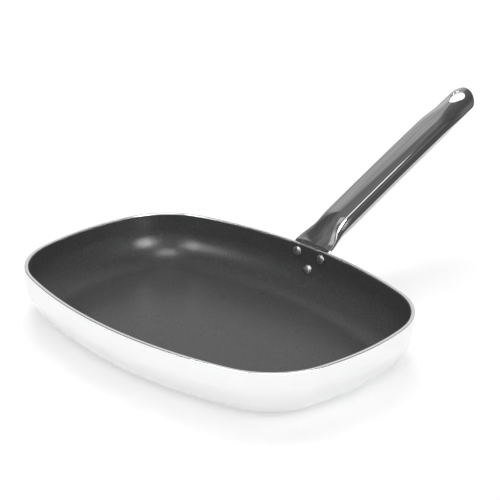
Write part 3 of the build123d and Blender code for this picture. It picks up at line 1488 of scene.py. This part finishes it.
    def tip_points(self, across: float, distance: float, keep: float) -> tuple[np.ndarray, np.ndarray]:
        """Place one point on each face of the plate.

        Args:
            across: The place's distance from the middle.
            distance: Its distance along the handle.
            keep: The share of the thickness that the plate keeps there.

        Returns:
            The points on the crown and on the underside.
        """
        section = self.form.tube(distance)
        spot = np.array([max(-section.half, min(section.half, across))])
        crown, under = section.faces(spot)
        middle, half = (crown + under) / 2, (crown - under) / 2 * keep
        return section.place(spot, middle + half)[0], section.place(spot, middle - half)[0]

    def build(self) -> None:
        """Build and dress the handle."""
        steel = PolishedSteel(rise=self.form.rise).material()
        made = closed_piece("handle_shell", [grid_mesh("tube", self.rings()), self.tip_mesh()])
        finished(made, steel, Slot.HANDLE, "handle")


@dataclass
class Rivets:
    """The three rivets: domed heads inside the dish and low formed heads outside the flange.

    Args:
        form: The handle's sizes, which place the rivets.
        head_radius: Radius of the heads inside.
        head_height: Their height.
        tail_radius: Radius of the heads outside.
        tail_height: Their height.
        lip: Height of a head's upright edge.
        round_steps: Facets round a head.
        dome_steps: Points from its top to its foot.
    """

    form: HandleForm
    head_radius: float = 4.7 * MM
    head_height: float = 2.3 * MM
    tail_radius: float = 4.2 * MM
    tail_height: float = 1.7 * MM
    lip: float = 0.5 * MM
    round_steps: int = 48
    dome_steps: int = 18

    DOME_SHARE = 0.8  # share of a head's points that lie on its dome, the rest on its lip

    def seats(self) -> list[tuple[Vector, Vector]]:
        """Find the rivets' seats on the outer skin.

        Returns:
            Each rivet's place there and its outward direction.
        """
        form = self.form
        half = form.rivet_spacing / 2
        places = ((-half, form.upper_rivets), (half, form.upper_rivets), (0.0, form.lower_rivet))
        return [form.pan.wall_seat(across, height) for across, height in places]

    def tree(self) -> bpy.types.NodeTree:
        """Build the tree that sets a domed head on each seat.

        Returns:
            The tree, with the head's sizes and the finish as its inputs.
        """
        sizes = ("Radius", "Height", "Lip")
        inputs = {**dict.fromkeys(sizes, "NodeSocketFloat"), "Finish": "NodeSocketMaterial"}
        nodes, given = shape_tree("domed_heads", inputs)
        radius, height, lip = (nodes.out(given, name) for name in sizes)
        steps = {"Vertices X": self.round_steps + 1, "Vertices Y": self.dome_steps}
        grid = nodes.node("GeometryNodeMeshGrid", {}, {"Size X": 1.0, "Size Y": 1.0, **steps})
        x, y, _ = nodes.parts(nodes.node("GeometryNodeInputPosition"))
        angle = (x + 0.5) * (2 * math.pi)
        share = (y + 0.5) / self.DOME_SHARE
        dome = share.least(1.0) * (math.pi / 2)
        flank = (share - 1.0).most(0.0) * (self.DOME_SHARE / (1 - self.DOME_SHARE))
        out = radius * dome.sine()
        level = (lip + (height - lip) * dome.cosine()) * (1 - flank)
        spot = nodes.vector(out * angle.cosine(), out * angle.sine(), level)
        shaped = nodes.node("GeometryNodeSetPosition", {}, {"Geometry": grid, "Position": spot})
        close = {"Geometry": shaped, "Distance": MERGE_DISTANCE}
        head = nodes.node("GeometryNodeMergeByDistance", {}, close)
        kind = {"data_type": "FLOAT_VECTOR"}
        turn = nodes.node("GeometryNodeInputNamedAttribute", kind, {"Name": "turn"})
        points = nodes.node("GeometryNodeMeshToPoints", {}, {"Mesh": given.outputs["Geometry"]})
        places = {"Points": points, "Instance": head, "Rotation": turn}
        return dressed_end(nodes, given, nodes.node("GeometryNodeInstanceOnPoints", {}, places))

    def heads(
        self, name: str, tree: bpy.types.NodeTree, offset: float, inward: bool, inputs: dict[str, Any]
    ) -> bpy.types.Object:
        """Set a head on each rivet's seat.

        Args:
            name: The piece's name.
            tree: The tree that sets the heads.
            offset: How far the seat lies from the dish's outer skin, outwards.
            inward: Whether the heads point into the dish.
            inputs: The tree's inputs.

        Returns:
            The piece.
        """
        places, turns = [], []
        for seat, outward in self.seats():
            places.append(tuple(seat + outward * offset))
            aim = -outward if inward else outward
            turns.append(tuple(aim.to_track_quat("Z", "Y").to_euler()))
        helper = line_object(f"{name}_seats", places, closed=False)
        turn = helper.data.attributes.new("turn", "FLOAT_VECTOR", "POINT")
        turn.data.foreach_set("vector", np.array(turns, np.float32).ravel())
        mesh = evaluated(helper, tree, inputs)
        bpy.data.objects.remove(helper)
        return closed_piece(name, [mesh])

    def build(self) -> None:
        """Build and dress the heads on both sides."""
        pan, form = self.form.pan, self.form
        metal, tree = RivetAluminium().material(), self.tree()
        inside, outside = -(pan.wall + pan.lining), 2 * form.fold - form.seat_bite
        shared = {"Lip": self.lip, "Finish": metal}
        domes = {"Radius": self.head_radius, "Height": self.head_height, **shared}
        lows = {"Radius": self.tail_radius, "Height": self.tail_height, **shared}
        heads = self.heads("rivet_heads", tree, inside, True, domes)
        finished(heads, metal, Slot.RIVETS, "rivet_left", "rivet_right", "rivet_lower")
        finished(self.heads("rivet_tails", tree, outside, False, lows), metal, Slot.RIVETS)


@dataclass(frozen=True)
class Camera:
    """The camera, at the photograph's viewing angle.

    Args:
        azimuth_deg: Its direction from the object, round from -Y towards +X.
        elevation_deg: Its height above the horizon.
        roll_deg: How far it is turned about its own axis.
        distance: How far it stands from the middle of its view.
        across: The middle of its view, to the right of the object's origin.
        above: The middle of its view, above the object's origin.
        focal_pixels: Its focal length, in pixels of the photograph.
        frame_pixels: The photograph's width.
        sensor_mm: Width of its sensor in millimetres.
        clip: The nearest and furthest distance that it shows.
    """

    azimuth_deg: float = 43.989
    elevation_deg: float = 22.798
    roll_deg: float = 1.011
    distance: float = 1519.17 * MM
    across: float = 30.685 * MM
    above: float = 76.828 * MM
    focal_pixels: float = 1694.63
    frame_pixels: float = 500.0
    sensor_mm: float = 36.0
    clip: tuple[float, float] = (0.05, 50.0)

    def build(self) -> None:
        """Make the camera and set it on the scene."""
        azimuth, elevation = math.radians(self.azimuth_deg), math.radians(self.elevation_deg)
        level = math.cos(elevation)
        back = Vector((math.sin(azimuth) * level, -math.cos(azimuth) * level, math.sin(elevation)))
        right = (-back).cross(Vector((0.0, 0.0, 1.0))).normalized()
        up = right.cross(-back)
        data = bpy.data.cameras.new("camera")
        data.sensor_width = self.sensor_mm
        data.lens = self.sensor_mm * self.focal_pixels / self.frame_pixels
        data.clip_start, data.clip_end = self.clip
        made = placed("camera", data)
        made.location = right * self.across + up * self.above + back * self.distance
        made.rotation_mode = "QUATERNION"
        roll = Quaternion(back, math.radians(self.roll_deg))
        made.rotation_quaternion = roll @ (-back).to_track_quat("-Z", "Y")
        bpy.context.scene.camera = made


@dataclass(frozen=True)
class Panel:
    """A soft-edged panel on the reflected studio wall, seen only in reflections.

    Args:
        azimuth_deg: Its direction, round from +X towards +Y.
        elevation_deg: Its height above the horizon.
        half_width_deg: Half its level width.
        half_height_deg: Half its other width.
        soft_deg: Width of the soft edges at its sides.
        level: The brightness that it adds.
        fade_deg: Width of the soft edges above and below, where these differ.
    """

    azimuth_deg: float
    elevation_deg: float
    half_width_deg: float
    half_height_deg: float
    soft_deg: float
    level: float
    fade_deg: float | None = None

    AHEAD = 0.1  # how far in front a direction has to be before it counts in full

    def axes(self) -> tuple[Vector, Vector, Vector]:
        """Work out how it lies on the wall.

        Returns:
            The directions to its middle, along its level width and along its other width.
        """
        azimuth, elevation = math.radians(self.azimuth_deg), math.radians(self.elevation_deg)
        level = math.cos(elevation)
        middle = Vector((math.cos(azimuth) * level, math.sin(azimuth) * level, math.sin(elevation)))
        aside = Vector((-math.sin(azimuth), math.cos(azimuth), 0.0))
        return middle, aside, middle.cross(aside)

    def glow(self, nodes: Nodes, sight: Value) -> Value:
        """Return the brightness that it adds in each direction.

        Args:
            nodes: The tree that new nodes go into.
            sight: The direction looked in, as a vector of length 1.

        Returns:
            The brightness.
        """
        middle, aside, above = self.axes()
        ahead = nodes.along(sight, middle)
        mask = ahead.smooth(0.0, self.AHEAD)
        reach = ahead.most(self.AHEAD / 2)
        fade = self.soft_deg if self.fade_deg is None else self.fade_deg
        for direction, half, soft in (
            (aside, self.half_width_deg, self.soft_deg),
            (above, self.half_height_deg, fade),
        ):
            off = nodes.along(sight, direction) / reach
            edge = math.tan(math.radians(half + soft))
            mask = mask * off.apply("ABSOLUTE", off).smooth(edge, math.tan(math.radians(half)))
        return mask * self.level


@dataclass(frozen=True)
class Lamp:
    """A soft square lamp that reflections don't show.

    Args:
        name: Its name.
        place: Where it hangs.
        size: Its width.
        power: Its power in watts.
        aim: What it points at.
    """

    name: str
    place: tuple[float, float, float]
    size: float
    power: float
    aim: tuple[float, float, float] = (0.0, 0.05, 0.0)

    def build(self) -> None:
        """Hang the lamp."""
        data = bpy.data.lights.new(self.name, "AREA")
        data.size = self.size
        data.energy = self.power
        made = placed(self.name, data)
        made.location = self.place
        made.rotation_mode = "QUATERNION"
        made.rotation_quaternion = (Vector(self.aim) - Vector(self.place)).to_track_quat("-Z", "Y")
        made.visible_glossy = False


@dataclass
class Studio:
    """Floor, soft light and what polished metal reflects.

    Args:
        floor_size: Width of the floor.
        floor_colour: The floor's colour.
        floor_glow: Its brightness to the camera and in reflections without any light on it.
        floor_gap: How far it lies below the pan's flat base.
        backdrop: Distances from the middle over which it turns into a white backdrop.
        wall_radius: Radius of the reflected studio wall.
        wall_level: Its brightness away from the panels.
        ambient: Brightness of the light from all round.
        panels: The wall's bright panels, each for what one part of the metal or the lining reflects.
        dark_patch: The near and far corner, along X and Y, of a dark patch that only reflections show.
        dark_level: The patch's brightness.
        patch_lift: How far it lies above the floor.
        lamps: The lamps.
    """

    floor_size: float = 12.0
    floor_colour: Colour = (0.9, 0.9, 0.9, 1.0)
    floor_glow: float = 0.24
    floor_gap: float = 0.2 * MM
    backdrop: tuple[float, float] = (0.9, 1.6)
    wall_radius: float = 4.0
    wall_level: float = 0.13
    ambient: float = 0.55
    panels: tuple[Panel, ...] = (
        Panel(118.0, 12.0, 33.0, 45.0, 22.0, 0.42, fade_deg=5.0),  # the bright band along the handle
        Panel(134.0, 23.0, 11.0, 9.0, 5.0, 0.22),  # the sheen of the lining's floor
        Panel(172.0, 68.0, 14.0, 10.0, 8.0, 0.1),  # the handle's crown
        Panel(0.0, 88.0, 11.0, 4.0, 2.0, 1.6),  # the bright line along its shoulder
        Panel(194.0, 72.0, 3.5, 5.5, 3.0, 0.55),  # the end of that line at the bend
        Panel(20.0, 52.0, 12.0, 6.0, 5.0, 0.1),  # the band below the shoulder
        Panel(-45.0, 15.0, 45.0, 35.0, 20.0, 0.4),  # the outer wall
        Panel(-5.0, 30.0, 9.0, 10.0, 4.0, 20.0),  # the lining's left patch of light
        Panel(-43.0, 71.0, 7.0, 7.0, 5.0, 11.0),  # the arc between its two patches
        Panel(-92.0, 37.0, 9.0, 9.0, 5.0, 12.5),  # its right patch
    )
    dark_patch: tuple[tuple[float, float], tuple[float, float]] = ((0.5, -0.4), (5.0, 5.0))
    dark_level: float = 0.08
    patch_lift: float = 1.0 * MM
    lamps: tuple[Lamp, ...] = (
        Lamp("key", (-0.6, 0.5, 1.3), 0.9, 9.0),
        Lamp("fill", (1.0, -1.0, 1.0), 1.0, 5.0),
    )

    def sheet(
        self,
        name: str,
        low: tuple[float, float],
        high: tuple[float, float],
        height: float,
        material: bpy.types.Material,
    ) -> bpy.types.Object:
        """Lay a level rectangle that isn't part of the object.

        Args:
            name: Its name.
            low: Its corner at the lowest X and Y.
            high: Its corner at the highest.
            height: The height at which it lies.
            material: Its material.

        Returns:
            The rectangle.
        """
        corners = ((low[0], low[1]), (high[0], low[1]), (high[0], high[1]), (low[0], high[1]))
        mesh = bpy.data.meshes.new(name)
        mesh.from_pydata([(x, y, height) for x, y in corners], [], [(0, 1, 2, 3)])
        mesh.materials.append(material)
        made = placed(name, mesh)
        return made

    def floor(self) -> None:
        """Make the pale floor, which shows white to the camera outside the object's shadow."""
        shader = Shader("floor")
        rays = shader.node("ShaderNodeLightPath")
        seen = shader.out(rays, "Is Camera Ray")
        sight = seen.most(shader.out(rays, "Is Glossy Ray"))
        near = shader.blend(BLACK, darkened(WHITE, self.floor_glow), sight)
        away = shader.length(shader.coordinates).smooth(*self.backdrop)
        material = shader.surface(
            Base_Color=self.floor_colour,
            Roughness=1.0,
            Specular_IOR_Level=0.0,
            Emission_Color=shader.blend(near, WHITE, away * seen),
            Emission_Strength=1.0,
        )
        half = self.floor_size / 2
        self.sheet("floor", (-half, -half), (half, half), -self.floor_gap, material)

    def world(self) -> None:
        """Light everything softly from all round, and show white behind the object."""
        world = bpy.data.worlds.new("studio")
        bpy.context.scene.world = world
        world.use_nodes = True
        world.node_tree.nodes.clear()
        nodes = Nodes(world.node_tree)
        rays = nodes.node("ShaderNodeLightPath")
        seen = nodes.out(rays, "Is Camera Ray").most(nodes.out(rays, "Is Transmission Ray"))
        strength = seen + (1 - seen) * self.ambient
        background = nodes.node("ShaderNodeBackground", {}, {"Color": WHITE, "Strength": strength})
        nodes.node("ShaderNodeOutputWorld", {}, {"Surface": background})

    def glow(self, shader: Shader, level: Any) -> bpy.types.Material:
        """Finish a material that only glows.

        Args:
            shader: The material's nodes.
            level: Its brightness.

        Returns:
            The material.
        """
        light = shader.node("ShaderNodeEmission", {}, {"Color": WHITE, "Strength": level})
        shader.feed(shader.output, "Surface", light)
        return shader.material

    def wall(self) -> None:
        """Make the studio wall that only reflections show: dark, with soft bright panels."""
        shape = bmesh.new()
        bmesh.ops.create_uvsphere(shape, u_segments=64, v_segments=32, radius=self.wall_radius)
        made = smooth_object("studio_wall", shape)
        shader = Shader("studio_wall")
        unit = shader.node("ShaderNodeVectorMath", {"operation": "NORMALIZE"}, {0: shader.coordinates})
        level: Any = self.wall_level
        for panel in self.panels:
            level = panel.glow(shader, shader.out(unit)) + level
        made.data.materials.append(self.glow(shader, level))
        self.only_reflected(made)

    def only_reflected(self, made: bpy.types.Object) -> None:
        """Let reflections alone see an object.

        Args:
            made: The object.
        """
        for kind in ("camera", "diffuse", "shadow", "transmission", "volume_scatter"):
            setattr(made, f"visible_{kind}", False)

    def build(self) -> None:
        """Build the whole studio."""
        self.floor()
        self.world()
        self.wall()
        dark = self.glow(Shader("dark_card"), self.dark_level)
        self.only_reflected(self.sheet("dark_card", *self.dark_patch, self.patch_lift, dark))
        for lamp in self.lamps:
            lamp.build()
        bpy.context.scene.view_settings.view_transform = "Standard"


def main() -> None:
    """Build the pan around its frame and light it."""
    logging.basicConfig(level=logging.INFO, format="%(name)s %(message)s")
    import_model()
    body_low, body_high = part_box("pan_body")
    half = (body_high - body_low) / 2
    rim = RimOutline(half_length=half.x, half_width=half.y)
    pan = PanForm(rim=rim, rim_height=body_high.z)
    handle = HandleForm(pan=pan)
    Dish(pan).build()
    Handle(handle).build()
    Rivets(handle).build()
    Camera().build()
    Studio().build()


if __name__ == "__main__":
    main()
